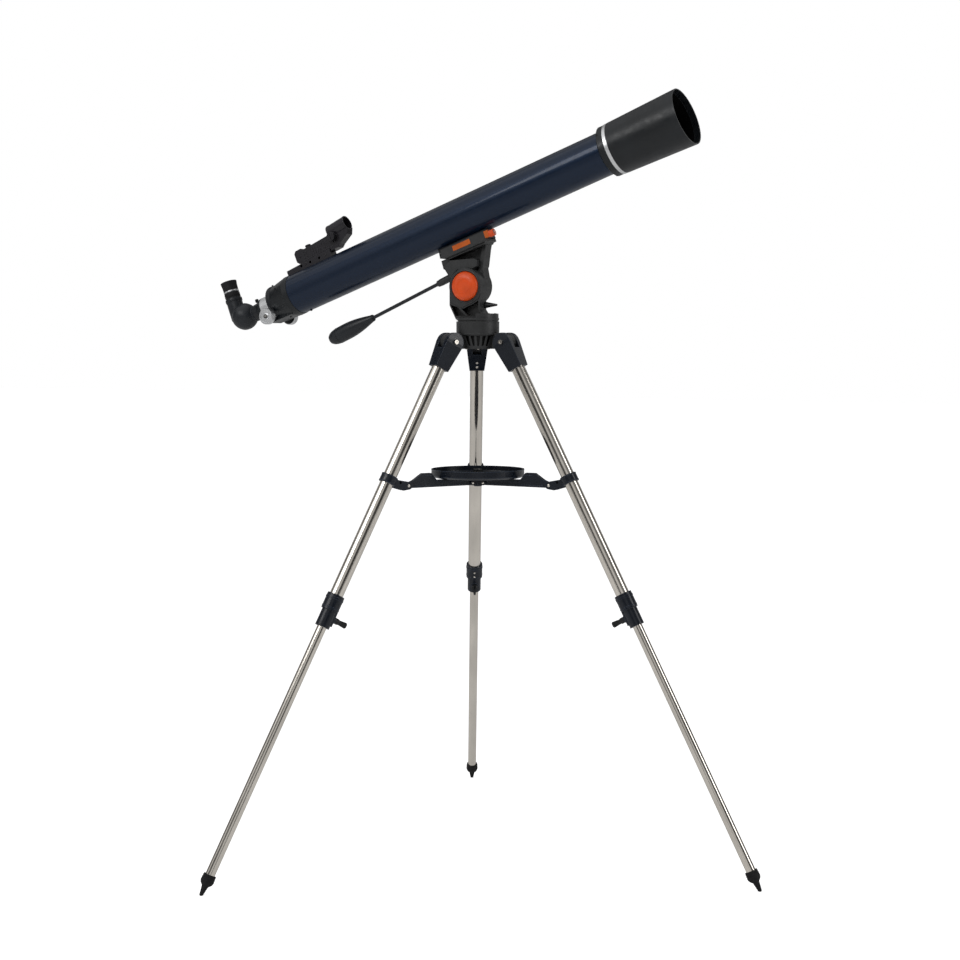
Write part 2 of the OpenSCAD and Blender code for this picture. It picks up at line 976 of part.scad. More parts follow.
// Body of the sight, with the cradle of its front tube
module finder_body() {
  color(black)
    finder_frame()
      difference() {
        union() {
          plate(-12, 12)
            polygon([[-46, -4], [39, -4], [39, -11], [60, -11], [68, -5], [96, 8], [104, 24],
                     [98, 34], [50, 34], [46, 28], [-42, 26], [-46, 20]]);
          plate(-10, 10)
            polygon([[-66, 4], [-58, -4], [-44, -4], [-44, 32], [-60, 32], [-66, 26]]);
          translate([56, 0, 18])
            bar_y(-17, 12, 12);
        }
        translate([0, 0, 31])
          rotate([0, -3, 0])
            bar_x(44, 108, 18.3);
        translate([-26, 0, 0])
          bar_z(16, 40, 3 + fit);
        translate([56, 0, 18])
          bar_y(-30, -13, 3 + fit);
      }
}

module finder_tube() {
  color(black)
    finder_frame()
      translate([0, 0, 31])
        rotate([0, -3, 0])
          difference() {
            bar_x(46, 101, 18);
            bar_x(50, 102, 16);
          }
}

// Brightness dial of the sight
module finder_dial() {
  color(black)
    finder_frame()
      translate([56, 0, 18]) {
        bar_y(-20, -13.5, 3);
        difference() {
          bar_y(-24, -17 - gap, 11);
          block([-1.2, -25, -9], [1.2, -22.8, 9]);
        }
      }
}

// Screw that levels the sight
module finder_adjuster() {
  color(black)
    finder_frame()
      translate([-26, 0, 0]) {
        bar_z(17, 30, 3);
        bar_z(27 + gap, 34, 7);
      }
}

// ---- assembly ----

hub();
hub_bolts();
for (n = [1 : 3]) {
  leg_socket(n);
  upper_leg_tube(n);
  extension_collar(n);
  lock_knob(n);
  lower_leg_tube(n);
  foot(n);
  brace_clip(n);
  brace_arm(n);
}
brace_centre();
tray();
tray_knob();
azimuth_post();
fork();
altitude_cap(1);  // altitude_cap_left
altitude_cap(-1);  // altitude_cap_right
altitude_axle();
azimuth_lock();
cradle();
clamp_bar();
clamp_knob();
handle_rod();
handle_grip();
main_tube();
dovetail_bar();
lens_cell();
trim_ring();
dew_shield();
objective_lens();
focuser_housing();
drawtube();
focus_shaft();
focus_knobs();
visual_back();
diagonal_body();
diagonal_prism();
eyepiece_body();
eyepiece_cup();
finder_bracket();
finder_body();
finder_tube();
finder_dial();
finder_adjuster();
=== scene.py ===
"""Looks of a refractor telescope on a folding tripod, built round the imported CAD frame.

Pieces are drawn in millimetres in the local frame of what they sit on, and placed in the row frame in metres.
"""

import json
import math

import bmesh
import bpy
from mathutils import Matrix, Vector


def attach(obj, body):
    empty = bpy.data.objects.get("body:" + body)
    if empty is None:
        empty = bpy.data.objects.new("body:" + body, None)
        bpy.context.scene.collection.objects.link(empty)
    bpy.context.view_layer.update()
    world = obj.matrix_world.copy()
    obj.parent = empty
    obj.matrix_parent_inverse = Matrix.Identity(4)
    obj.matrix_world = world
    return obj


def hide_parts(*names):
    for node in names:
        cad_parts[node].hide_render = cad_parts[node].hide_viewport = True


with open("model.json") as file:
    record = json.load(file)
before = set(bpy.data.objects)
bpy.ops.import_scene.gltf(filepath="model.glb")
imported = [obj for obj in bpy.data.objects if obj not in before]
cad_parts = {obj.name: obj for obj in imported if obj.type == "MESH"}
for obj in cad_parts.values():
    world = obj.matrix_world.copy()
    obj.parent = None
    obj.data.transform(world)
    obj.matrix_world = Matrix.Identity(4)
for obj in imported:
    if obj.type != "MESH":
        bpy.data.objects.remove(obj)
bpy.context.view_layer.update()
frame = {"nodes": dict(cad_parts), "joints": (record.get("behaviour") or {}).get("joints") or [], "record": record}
NODES = frame["nodes"]
JOINTS = {j["name"]: j for j in frame["joints"]}
MOUNTS = {m["name"]: m for m in frame["record"]["mounts"]}
LEGS = (1, 2, 3)
SIDES = (-1, 1)
MM = 0.001

# ---- local frames, in millimetres ----


def frame_at(origin, x_axis, z_axis):
    """Matrix from local millimetres to the row frame, with X and Z along the given directions."""
    x, z = Vector(x_axis).normalized(), Vector(z_axis).normalized()
    y = z.cross(x)
    rows = [[x[i] * MM, y[i] * MM, z[i] * MM, origin[i]] for i in range(3)]
    return Matrix(rows + [[0, 0, 0, 1]])


ACROSS = Vector((0, 1, 0))
ROW = Matrix.Scale(MM, 4)

# Origin on the tube's axis, this far behind the dew shield's mouth
MOUTH_X = 549
TUBE_X = Vector(JOINTS["tube_balance"]["axis"])
TUBE_Z = TUBE_X.cross(ACROSS)
TUBE = frame_at(Vector(MOUNTS["dew_shield_mouth"]["pos_m"]) - TUBE_X * MOUTH_X * MM, TUBE_X, TUBE_Z)

# Origin on the tilt axis: one frame along the tube, and one level with the ground
CRADLE = frame_at(JOINTS["altitude_tilt"]["pos_m"], TUBE_X, TUBE_Z)
CAPS = Matrix.Translation(CRADLE.translation) @ Matrix.Scale(MM, 4)

# Origin at the handle's socket, X up the rod to it from the grip
HANDLE_X = Vector(JOINTS["handle_twist"]["axis"])
HANDLE = frame_at(JOINTS["handle_twist"]["pos_m"], HANDLE_X, HANDLE_X.cross(ACROSS))

# The finder's aiming screw stands at this X and Z of the finder's frame
AIM_X, AIM_Z = -26, 30
FINDER_Z = Vector(JOINTS["finder_adjuster_turn"]["axis"])
FINDER_X = ACROSS.cross(FINDER_Z)
AIM_PLACE = Vector(JOINTS["finder_adjuster_turn"]["pos_m"])
FINDER = frame_at(AIM_PLACE - (FINDER_X * AIM_X + FINDER_Z * AIM_Z) * MM, FINDER_X, FINDER_Z)


def leg_frame(n):
    """Origin at the leg's hinge, +Z up the leg, +X outward."""
    up = Vector(JOINTS[f"leg_{n}_length"]["axis"])
    across = Vector(JOINTS[f"leg_{n}_fold"]["axis"])
    return frame_at(JOINTS[f"leg_{n}_fold"]["pos_m"], across.cross(up), up)


def spoke_frame(n):
    """Origin on the ground under the pan axis, X outward along leg n, Z up."""
    across = Vector(JOINTS[f"leg_{n}_fold"]["axis"])
    return frame_at((0, 0, 0), across.cross(Vector((0, 0, 1))), (0, 0, 1))


def shifted(matrix, x=0, y=0, z=0):
    return matrix @ Matrix.Translation((x, y, z))


def turned(matrix, axis, degrees):
    return matrix @ Matrix.Rotation(math.radians(degrees), 4, axis)


def along_x(matrix, x=0):
    """Local Z along the frame's X, from x."""
    return turned(shifted(matrix, x), "Y", 90)


def facing_back(matrix, x, z):
    """Local Z against the frame's X, out of the face at x."""
    return turned(shifted(matrix, x=x, z=z), "Y", -90)


def on_side(matrix, x, z, side, y):
    """Local Z along Y, out of the face at side * y."""
    return turned(shifted(matrix, x, side * y, z), "X", -90 * side)


def round_x(matrix, x, degrees, radius):
    """Local Z outward from the frame's X axis, at this angle and radius."""
    return shifted(turned(shifted(matrix, x), "X", degrees), z=radius)


def round_z(degrees, x, z):
    """Local Z up, at this angle and radius from the pan axis and this height above the ground."""
    return shifted(turned(ROW, "Z", degrees), x=x, z=z)


# ---- materials ----

# The middle of a noise's range, which spread() stretches to its limits
NOISE_LOW, NOISE_HIGH = 0.3, 0.7
# Cosine between the softened and the flat normal: an edge lightened by wear and by a painted highlight, and a
# plain face
EDGE_COSINE, FACE_COSINE = 0.9, 0.995
# Ambient occlusion in a deep corner, and in the open, for the shade painted into recesses
CORNER_OPEN, FACE_OPEN = 0.3, 0.85
# Near-black that the painted shade darkens recesses towards
PAINTED_SHADE = (0.002, 0.002, 0.002, 1)
BEVEL_SAMPLES = 4
RECESS_SAMPLES = 6


class Paint:
    """A node material built round one Principled shader."""

    def __init__(self, name, colour, metallic=0.0, roughness=0.4, **sockets):
        self.material = bpy.data.materials.new(name)
        self.material.use_nodes = True
        self.tree = self.material.node_tree
        self.shader = self.tree.nodes["Principled BSDF"]
        self.colour = colour
        self.shader.inputs["Base Color"].default_value = (*colour, 1)
        self.shader.inputs["Metallic"].default_value = metallic
        self.shader.inputs["Roughness"].default_value = roughness
        for key, value in sockets.items():
            self.shader.inputs[key.replace("_", " ")].default_value = value
        self.place = self.node("ShaderNodeTexCoord").outputs["Object"]
        self.normal = None

    def node(self, kind, **settings):
        made = self.tree.nodes.new(kind)
        for key, value in settings.items():
            setattr(made, key, value)
        return made

    def link(self, out, into):
        self.tree.links.new(out, into)

    def noise(self, scale, detail=3.0, stretch=(1, 1, 1), axes=None):
        """Noise over the surface; stretch below 1 draws it out along that axis, of axes if given."""
        mapping = self.node("ShaderNodeMapping")
        mapping.inputs["Scale"].default_value = stretch
        if axes is not None:
            mapping.vector_type = "TEXTURE"
            mapping.inputs["Rotation"].default_value = axes.to_euler()
            mapping.inputs["Scale"].default_value = [1 / s for s in stretch]
        self.link(self.place, mapping.inputs["Vector"])
        noise = self.node("ShaderNodeTexNoise")
        noise.inputs["Scale"].default_value = scale
        noise.inputs["Detail"].default_value = detail
        self.link(mapping.outputs["Vector"], noise.inputs["Vector"])
        return noise.outputs["Fac"]

    def spread(self, value, low=0.0, high=1.0, start=NOISE_LOW, end=NOISE_HIGH):
        """Maps start..end of a value to low..high."""
        ranged = self.node("ShaderNodeMapRange")
        ranged.inputs["From Min"].default_value = start
        ranged.inputs["From Max"].default_value = end
        ranged.inputs["To Min"].default_value = low
        ranged.inputs["To Max"].default_value = high
        self.link(value, ranged.inputs["Value"])
        return ranged.outputs["Result"]

    def soft_edges(self, value, radius, wear_and_highlight):
        """Rounds the shading of sharp edges, and returns value raised where they are: partly edge wear, partly a
        painted highlight.
        """
        bevel = self.node("ShaderNodeBevel", samples=BEVEL_SAMPLES)
        bevel.inputs["Radius"].default_value = radius
        self.normal = bevel.outputs["Normal"]
        flat = self.node("ShaderNodeNewGeometry").outputs["Normal"]
        turn = self.node("ShaderNodeVectorMath", operation="DOT_PRODUCT")
        self.link(self.normal, turn.inputs[0])
        self.link(flat, turn.inputs[1])
        # Edge lightening: partly wear, partly a painted highlight along the edges
        worn_and_highlit_edges = self.spread(turn.outputs["Value"], wear_and_highlight, 0.0, EDGE_COSINE, FACE_COSINE)
        total = self.node("ShaderNodeMath", operation="ADD")
        self.link(value, total.inputs[0])
        self.link(worn_and_highlit_edges, total.inputs[1])
        return total.outputs[0]

    def tint(self, value, low, high, recess=0.0):
        """Base colour between low and high times the paint's own, darkened towards near-black by painted shade in
        recesses this deep.
        """
        mix = self.node("ShaderNodeMix", data_type="RGBA", clamp_factor=False)
        mix.inputs["A"].default_value = (*[c * low for c in self.colour], 1)
        mix.inputs["B"].default_value = (*[c * high for c in self.colour], 1)
        self.link(value, mix.inputs["Factor"])
        colour = mix.outputs["Result"]
        if recess:
            # Painted shade: ambient occlusion darkens the base colour in corners and recesses
            shade = self.node("ShaderNodeAmbientOcclusion", samples=RECESS_SAMPLES, only_local=True)
            shade.inputs["Distance"].default_value = recess
            painted_shade = self.node("ShaderNodeMix", data_type="RGBA")
            painted_shade.inputs["A"].default_value = PAINTED_SHADE
            open_share = self.spread(shade.outputs["AO"], start=CORNER_OPEN, end=FACE_OPEN)
            self.link(open_share, painted_shade.inputs["Factor"])
            self.link(colour, painted_shade.inputs["B"])
            colour = painted_shade.outputs["Result"]
        self.link(colour, self.shader.inputs["Base Color"])

    def rough(self, value, low, high):
        self.link(self.spread(value, low, high), self.shader.inputs["Roughness"])

    def bump(self, value, depth):
        """Adds relief of this depth in metres."""
        bump = self.node("ShaderNodeBump")
        bump.inputs["Distance"].default_value = depth
        self.link(value, bump.inputs["Height"])
        if self.normal is not None:
            self.link(self.normal, bump.inputs["Normal"])
        self.link(bump.outputs["Normal"], self.shader.inputs["Normal"])


def moulded(name, colour, roughness, depth=0.00006, edge=0.0007, wear_and_highlight=2.5):
    """Moulded plastic: fine grain, faint cloudiness, uneven gloss, softened edges lightened by wear and by a
    painted highlight, and painted shade in recesses.
    """
    paint = Paint(name, colour, roughness=roughness, Specular_IOR_Level=0.42)
    clouds = paint.spread(paint.noise(scale=26, detail=5))
    paint.tint(paint.soft_edges(clouds, edge, wear_and_highlight), low=0.82, high=1.2, recess=0.024)
    paint.rough(paint.noise(scale=90, detail=4), low=roughness * 0.82, high=roughness * 1.18)
    paint.bump(paint.noise(scale=1500, detail=2), depth)
    return paint.material


def steel(name, axes=None):
    """Polished tube, with drawn marks along the Z of axes."""
    roughness = 0.15
    paint = Paint(name, (0.86, 0.81, 0.735), metallic=1.0, roughness=roughness)
    marks = paint.noise(scale=420, detail=4, stretch=(1, 1, 0.02), axes=axes)
    smears = paint.noise(scale=22, detail=4, stretch=(1, 1, 0.3), axes=axes)
    paint.tint(paint.spread(smears), low=0.84, high=1.08)
    paint.rough(smears, low=roughness * 0.75, high=roughness * 1.4)
    paint.bump(marks, depth=0.00002)
    return paint.material


def metallic_navy():
    """Gloss metallic paint: flakes under a clear coat with a little orange peel."""
    paint = Paint("navy_paint", (0.0042, 0.0150, 0.040), metallic=0.5, roughness=0.34,
                  Coat_Weight=0.4, Coat_Roughness=0.1, Specular_IOR_Level=0.3)
    flakes = paint.spread(paint.noise(scale=4200, detail=1), start=0.42, end=0.72)
    paint.tint(flakes, low=0.8, high=1.7)
    paint.rough(paint.noise(scale=60), low=0.29, high=0.4)
    paint.bump(paint.noise(scale=190, detail=2), depth=0.00002)
    return paint.material


def satin_black():
    """Black enamel on metal."""
    roughness = 0.36
    paint = Paint("black_paint", (0.0085, 0.0108, 0.0135), roughness=roughness, Specular_IOR_Level=0.45)
    paint.tint(paint.spread(paint.noise(scale=14, detail=5)), low=0.8, high=1.3)
    paint.rough(paint.noise(scale=70, detail=4), low=roughness * 0.8, high=roughness * 1.25)
    paint.bump(paint.noise(scale=900), depth=0.00005)
    return paint.material


def orange_plastic(name, colour):
    """Smooth dyed plastic."""
    roughness = 0.34
    paint = Paint(name, colour, roughness=roughness, Specular_IOR_Level=0.45)
    paint.tint(paint.spread(paint.noise(scale=30, detail=4)), low=0.9, high=1.1)
    paint.rough(paint.noise(scale=80), low=roughness * 0.8, high=roughness * 1.3)
    paint.bump(paint.noise(scale=1300, detail=2), depth=0.00004)
    return paint.material


def satin_silver():
    """Satin anodised or plated metal."""
    roughness = 0.34
    paint = Paint("satin_silver", (0.82, 0.83, 0.84), metallic=1.0, roughness=roughness)
    paint.tint(paint.spread(paint.noise(scale=35, detail=4)), low=0.88, high=1.06)
    paint.rough(paint.noise(scale=300, detail=4), low=roughness * 0.8, high=roughness * 1.35)
    paint.bump(paint.noise(scale=1600, detail=2), depth=0.00002)
    return paint.material


def rubber():
    """Matt rubber of the feet, the eyecup and the eyepiece's grip."""
    paint = Paint("rubber", (0.007, 0.007, 0.008), roughness=0.72, Specular_IOR_Level=0.35)
    paint.tint(paint.spread(paint.noise(scale=40, detail=5)), low=0.8, high=1.5)
    paint.rough(paint.noise(scale=120, detail=4), low=0.62, high=0.82)
    paint.bump(paint.noise(scale=1100), depth=0.00012)
    return paint.material


def flocked_and_hole_shade():
    """Coating against reflections inside the tubes; the near-black discs in the brace clips' holes use it as
    painted shade.
    """
    paint = Paint("flocked_and_hole_shade_black", (0.0022, 0.0022, 0.0024), roughness=0.95, Specular_IOR_Level=0.1)
    paint.tint(paint.spread(paint.noise(scale=700, detail=4)), low=0.6, high=1.6)
    paint.bump(paint.noise(scale=900), depth=0.0002)
    return paint.material


def coated_glass():
    paint = Paint("coated_glass", (0.62, 0.78, 0.86), roughness=0.02, Transmission_Weight=1.0, IOR=1.52,
                  Coat_Weight=0.5, Coat_Tint=(0.45, 0.85, 0.7, 1))
    paint.rough(paint.noise(scale=50, detail=2), low=0.01, high=0.04)
    return paint.material


M = {
    "charcoal": moulded("charcoal_plastic", (0.037, 0.038, 0.039), 0.42),
    "black": moulded("black_plastic", (0.0105, 0.012, 0.0135), 0.36),
    # The blue-black plastic's edges are lightened strongly, mostly as a painted highlight
    "ink": moulded("blue_black_plastic", (0.0078, 0.0112, 0.0185), 0.27,
                   depth=0.00002, edge=0.0018, wear_and_highlight=11),
    "satin": moulded("satin_black_plastic", (0.0175, 0.0205, 0.0255), 0.38),
    "gloss": moulded("gloss_black_plastic", (0.021, 0.0195, 0.024), 0.22, wear_and_highlight=5),
    "navy": metallic_navy(),
    "paint": satin_black(),
    "orange": orange_plastic("orange_plastic", (0.92, 0.10, 0.012)),
    "amber": orange_plastic("amber_plastic", (0.66, 0.125, 0.008)),
    "silver": satin_silver(),
    "bright": steel("bright_steel"),
    "rubber": rubber(),
    "flocked_and_hole_shade": flocked_and_hole_shade(),
    "glass": coated_glass(),
}
for leg in LEGS:
    M[f"leg_{leg}"] = steel(f"leg_steel_{leg}", leg_frame(leg).to_3x3().normalized())

NODE_PAINT = {
    "hub": "charcoal", "fork": "charcoal", "cradle": "charcoal",
    "hub_bolts": "bright", "azimuth_post": "bright", "altitude_axle": "bright", "focus_shaft": "bright",
    "altitude_cap_left": "orange", "altitude_cap_right": "orange",
    "clamp_bar": "amber", "clamp_knob": "orange",
    "azimuth_lock": "black", "handle_rod": "satin", "handle_grip": "satin",
    "main_tube": "navy", "dovetail_bar": "black", "lens_cell": "paint", "trim_ring": "silver",
    "dew_shield": "paint", "objective_lens": "glass", "diagonal_prism": "glass",
    "focuser_housing": "paint", "drawtube": "silver", "focus_knobs": "silver", "visual_back": "paint",
    "diagonal_body": "satin", "eyepiece_body": "satin", "eyepiece_cup": "rubber",
    "finder_bracket": "gloss", "finder_body": "gloss", "finder_tube": "gloss",
    "finder_dial": "gloss", "finder_adjuster": "gloss",
    "brace_centre": "ink", "tray": "ink", "tray_knob": "black",
}
for leg in LEGS:
    for part in ("leg_socket", "extension_collar", "brace_clip", "brace_arm"):
        NODE_PAINT[f"{part}_{leg}"] = "ink"
    for part in ("upper_leg_tube", "lower_leg_tube"):
        NODE_PAINT[f"{part}_{leg}"] = f"leg_{leg}"
    NODE_PAINT[f"lock_knob_{leg}"] = "black"
    NODE_PAINT[f"foot_{leg}"] = "rubber"

for name, key in NODE_PAINT.items():
    data = NODES[name].data
    data.materials.clear()
    data.materials.append(M[key])

# ---- pieces ----

# How far a small head or a raised band stands into the surface under it
HEAD_ROOT, BAND_ROOT = 0.5, 1.5
# Below, a band is written as its middle, half its width and its radius, and a turned profile as
# (height, radius) points
BAND_CHAMFER = 0.6
BAND_KNURL = 0.5
# Small heads as shares of their height and radius: a domed rivet, and a cap screw with its recess
DOMED = ((0.15, 1.0), (0.6, 0.82), (0.93, 0.45), (1.0, 0.2))
RECESSED = ((0.8, 1.0), (1.0, 0.86), (1.0, 0.52), (0.35, 0.5))
SHARP_ANGLE = 32
LENS_SHARP_ANGLE = 60


class Piece:
    """A visible piece gathered from turned and extruded forms, drawn in millimetres."""

    def __init__(self, name, body, paint, angle=SHARP_ANGLE):
        self.name = name
        self.body = body
        self.paint = paint
        self.angle = angle
        self.bm = bmesh.new()

    def _add(self, made, matrix):
        bmesh.ops.recalc_face_normals(made, faces=made.faces)
        made.transform(matrix)
        mesh = bpy.data.meshes.new("part")
        made.to_mesh(mesh)
        made.free()
        self.bm.from_mesh(mesh)
        bpy.data.meshes.remove(mesh)

    def turned(self, matrix, points, segments=48, teeth=0, depth=0.0, toothed=(), loop=False):
        """A profile of (height, radius) points turned about local Z; the toothed points are knurled."""
        made = bmesh.new()
        rings = []
        for index, (height, radius) in enumerate(points):
            ring = []
            for k in range(segments):
                notch = teeth and index in toothed and (k * teeth * 2 // segments) % 2
                r = radius - (depth if notch else 0)
                angle = 2 * math.pi * k / segments
                ring.append(made.verts.new((r * math.cos(angle), r * math.sin(angle), height)))
            rings.append(ring)
        pairs = list(zip(rings, rings[1:])) + ([(rings[-1], rings[0])] if loop else [])
        for low, high in pairs:
            for k in range(segments):
                j = (k + 1) % segments
                made.faces.new((low[k], low[j], high[j], high[k]))
        if not loop:
            made.faces.new(rings[0][::-1])
            made.faces.new(rings[-1])
        self._add(made, matrix)

    def ring(self, matrix, points, segments=96):
        """A closed profile turned about local Z, open through its middle."""
        self.turned(matrix, points, segments, loop=True)

    def band(self, matrix, middle, half, radius, segments=64, teeth=0):
        """A raised ring with chamfered edges, standing a little into the surface under it."""
        edge = min(BAND_CHAMFER, half * 0.4)
        low, high, root = middle - half, middle + half, radius - BAND_ROOT
        points = [(low, root), (low, radius - edge), (low + edge, radius),
                  (high - edge, radius), (high, radius - edge), (high, root)]
        self.turned(matrix, points, segments, teeth, BAND_KNURL, toothed=(2, 3), loop=True)

    def prism(self, matrix, outline, low, high, bevel):
        """An XZ outline made solid from y = low to y = high, with its edges bevelled."""
        made = bmesh.new()
        verts = [made.verts.new((x, low, z)) for x, z in outline]
        face = made.faces.new(verts)
        grown = bmesh.ops.extrude_face_region(made, geom=[face])
        moved = [v for v in grown["geom"] if isinstance(v, bmesh.types.BMVert)]
        bmesh.ops.translate(made, verts=moved, vec=(0, high - low, 0))
        bmesh.ops.bevel(made, geom=made.edges[:], offset=bevel, segments=2,
                        affect="EDGES", clamp_overlap=True)
        self._add(made, matrix)

    def block(self, matrix, low, high, bevel):
        """A bevelled box between two corners."""
        outline = [(low[0], low[2]), (high[0], low[2]), (high[0], high[2]), (low[0], high[2])]
        self.prism(matrix, outline, low[1], high[1], bevel)

    def rib(self, matrix, outline, side, middle, half, bevel):
        """A thin prism on the face at side * middle."""
        self.prism(matrix, outline, side * middle - half, side * middle + half, bevel)

    def head(self, matrix, radius, height, profile, segments):
        """A small head standing on z = 0, its profile given in shares of its height and radius."""
        points = [(h * height, r * radius) for h, r in profile]
        self.turned(matrix, [(-HEAD_ROOT, radius)] + points, segments)

    def rivet(self, matrix, radius, height=1.4):
        """A domed head with a small flat top."""
        self.head(matrix, radius, height, DOMED, segments=28)

    def screw(self, matrix, radius, height=1.6):
        """A cap screw with a round recess."""
        self.head(matrix, radius, height, RECESSED, segments=30)

    def done(self, *replaced):
        mesh = bpy.data.meshes.new(self.name)
        self.bm.to_mesh(mesh)
        self.bm.free()
        for face in mesh.polygons:
            face.use_smooth = True
        mesh.set_sharp_from_angle(angle=math.radians(self.angle))
        mesh.materials.append(M[self.paint])
        made = bpy.data.objects.new(self.name, mesh)
        bpy.context.scene.collection.objects.link(made)
        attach(made, self.body)
        if replaced:
            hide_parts(*replaced)


# Along a leg from its hinge: Z places, and how far its faces stand from its middle
SOCKET_FACE, COLLAR_FACE = 19.0, 20.0
SOCKET_RIVETS = (-47, -59)
COLLAR_RIVETS = (-663, -675)
COLLAR_BANDS = ((-656, 3, 21.2), (-679, 2, 21.0))
CLIP_BANDS = ((-364, 1.5, 20.2), (-348, 1.5, 20.2))
FOOT_BANDS = ((-1328, 1.2, 15.1), (-1333, 1.2, 15.4), (-1338, 1.2, 15.6))
LOCK_Z, LOCK_FACE = -701, -23.6
LOCK_RIBS = (-52, -48.5, -45, -41.5)
LOCK_RIB_LOW, LOCK_RIB_HIGH = (-0.6, -3.1, -4.6), (0.6, 3.1, 4.6)
LOCK_NUT = [(0, 6.4), (0.8, 7.2), (7.6, 7.2), (8.6, 6.2)]

# The brace, along a spoke from the pan axis and up from the ground
PIVOT_Z, PIVOT_FACE = 884, 8.5
CLIP_PIVOT_X, ARM_PIVOT_X = 191, 18
EYE_X, EYE_Z = 213, 892
EYE = [(0, 3.2), (0.5, 2.9), (0.5, 1.6), (0.1, 1.5)]
ARM_FACE, ARM_RIB_HALF, ARM_RIB_BEVEL = 5.15, 0.35, 0.2
ARM_RIBS = (
    [(36, 881), (176, 881), (176, 883), (36, 883)],
    [(36, 890.4), (112, 890.4), (128, 906), (148, 906), (148, 904), (129, 904), (113, 888.4), (36, 888.4)],
)


def leg_pieces(n):
    leg, spoke = leg_frame(n), spoke_frame(n)
    bolts = Piece(f"socket_rivets_{n}", f"leg_{n}", "bright")
    collar = Piece(f"collar_bands_{n}", f"leg_{n}", "ink")
    for band in COLLAR_BANDS:
        collar.band(leg, *band)
    for z in SOCKET_RIVETS:
        bolts.rivet(facing_back(leg, -SOCKET_FACE, z), radius=2.8)
    for z in COLLAR_RIVETS:
        bolts.rivet(facing_back(leg, -COLLAR_FACE, z), radius=2.4, height=1.6)
    # Near-black discs with a shallow dip stand for the clip's holes: their darkness is painted shade
    shaded_holes = Piece(f"clip_eye_shades_{n}", f"leg_{n}", "flocked_and_hole_shade")
    for side in SIDES:
        bolts.rivet(on_side(spoke, CLIP_PIVOT_X, PIVOT_Z, side, PIVOT_FACE), radius=3.6, height=1.6)
        shaded_holes.turned(on_side(spoke, EYE_X, EYE_Z, side, PIVOT_FACE), EYE, segments=32)
    bolts.done()
    shaded_holes.done()
    collar.done()
    trim = Piece(f"clip_band_{n}", f"leg_{n}", "ink")
    for band in CLIP_BANDS:
        trim.band(leg, *band)
    trim.done()
    lever = Piece(f"lock_ribs_{n}", f"leg_lock_{n}", "black")
    for x in LOCK_RIBS:
        lever.block(shifted(leg, x=x, z=LOCK_Z), LOCK_RIB_LOW, LOCK_RIB_HIGH, bevel=0.25)
    lever.turned(facing_back(leg, LOCK_FACE, LOCK_Z), LOCK_NUT, teeth=12, depth=0.8, toothed=(1, 2))
    lever.done()
    tread = Piece(f"foot_rings_{n}", f"lower_leg_{n}", "rubber")
    for band in FOOT_BANDS:
        tread.band(leg, *band)
    tread.done()
    pins = Piece(f"arm_pins_{n}", "brace_body", "bright")
    for side in SIDES:
        pins.rivet(on_side(spoke, ARM_PIVOT_X, PIVOT_Z, side, PIVOT_FACE), radius=3.4, height=1.3)
    pins.done()
    ribs = Piece(f"arm_ribs_{n}", f"arm_{n}", "ink")
    for side in SIDES:
        for outline in ARM_RIBS:
            ribs.rib(spoke, outline, side, ARM_FACE, ARM_RIB_HALF, ARM_RIB_BEVEL)
    ribs.done()


# The tray, above the ground and out from its middle
DISH_Z, RIM_Z = 899, 916
DISH_RINGS = (46, 72)
DISH_RIB_LOW, DISH_RIB_HIGH = (22, -1, -0.3), (96, 1, 1.2)
RIM_LIP = [(-1.8, 110.0), (-1.4, 110.5), (-0.4, 110.5), (0, 110.0), (0, 107.3), (-1.8, 107.3)]
TRAY_RIVET_X, TRAY_RIVET_Z = 8, 905


def tray_pieces():
    tray = Piece("tray_ribs", "tray_body", "ink")
    dish = shifted(ROW, z=DISH_Z)
    for k in range(6):
        tray.block(turned(dish, "Z", 60 * k + 30), DISH_RIB_LOW, DISH_RIB_HIGH, bevel=0.4)
    for r in DISH_RINGS:
        tray.ring(dish, [(-0.3, r - 1), (1.0, r - 0.7), (1.0, r + 0.7), (-0.3, r + 1)])
    tray.ring(shifted(ROW, z=RIM_Z), RIM_LIP, segments=128)
    tray.done()
    caps = Piece("tray_rivets", "tray_body", "bright")
    for k in range(3):
        caps.rivet(round_z(120 * k + 60, TRAY_RIVET_X, TRAY_RIVET_Z), radius=2.2, height=1.0)
    caps.done()


HUB_LINES = ((1234, 1, 50.9), (1260.6, 0.8, 50.8))
HUB_SCREW_X, HUB_SCREW_Z = 30, 1199


def hub_pieces():
    lines = Piece("hub_line", "hub_body", "charcoal")
    for band in HUB_LINES:
        lines.band(ROW, *band, segments=96)
    lines.done()
    under = Piece("hub_screws", "hub_body", "bright")
    for k in range(3):
        under.screw(turned(round_z(120 * k + 60, HUB_SCREW_X, HUB_SCREW_Z), "X", 180), radius=3.2)
    under.done()


# The saddle and the cradle's far ring, in the cradle's frame
CLAMP_X, CLAMP_Y, CLAMP_Z = 111.6, -21.5, 92
CLAMP_WASHER = [(0, 5.4), (0.7, 5.4), (1.1, 4.6), (1.1, 3.0), (0.5, 2.6)]
SADDLE_FACE, SADDLE_SCREW_Z = 26, 92
SADDLE_SCREWS = (8, 64)
SPINE_SCREW_X, SPINE_SCREW_Z = -49, 74
SADDLE_RAIL = [(-30, 81.4), (84, 81.4), (84, 83.4), (-30, 83.4)]
FAR_RING = [(-26.9, 41.8), (-26.9, 39.2), (-27.7, 39.6), (-27.7, 41.4)]
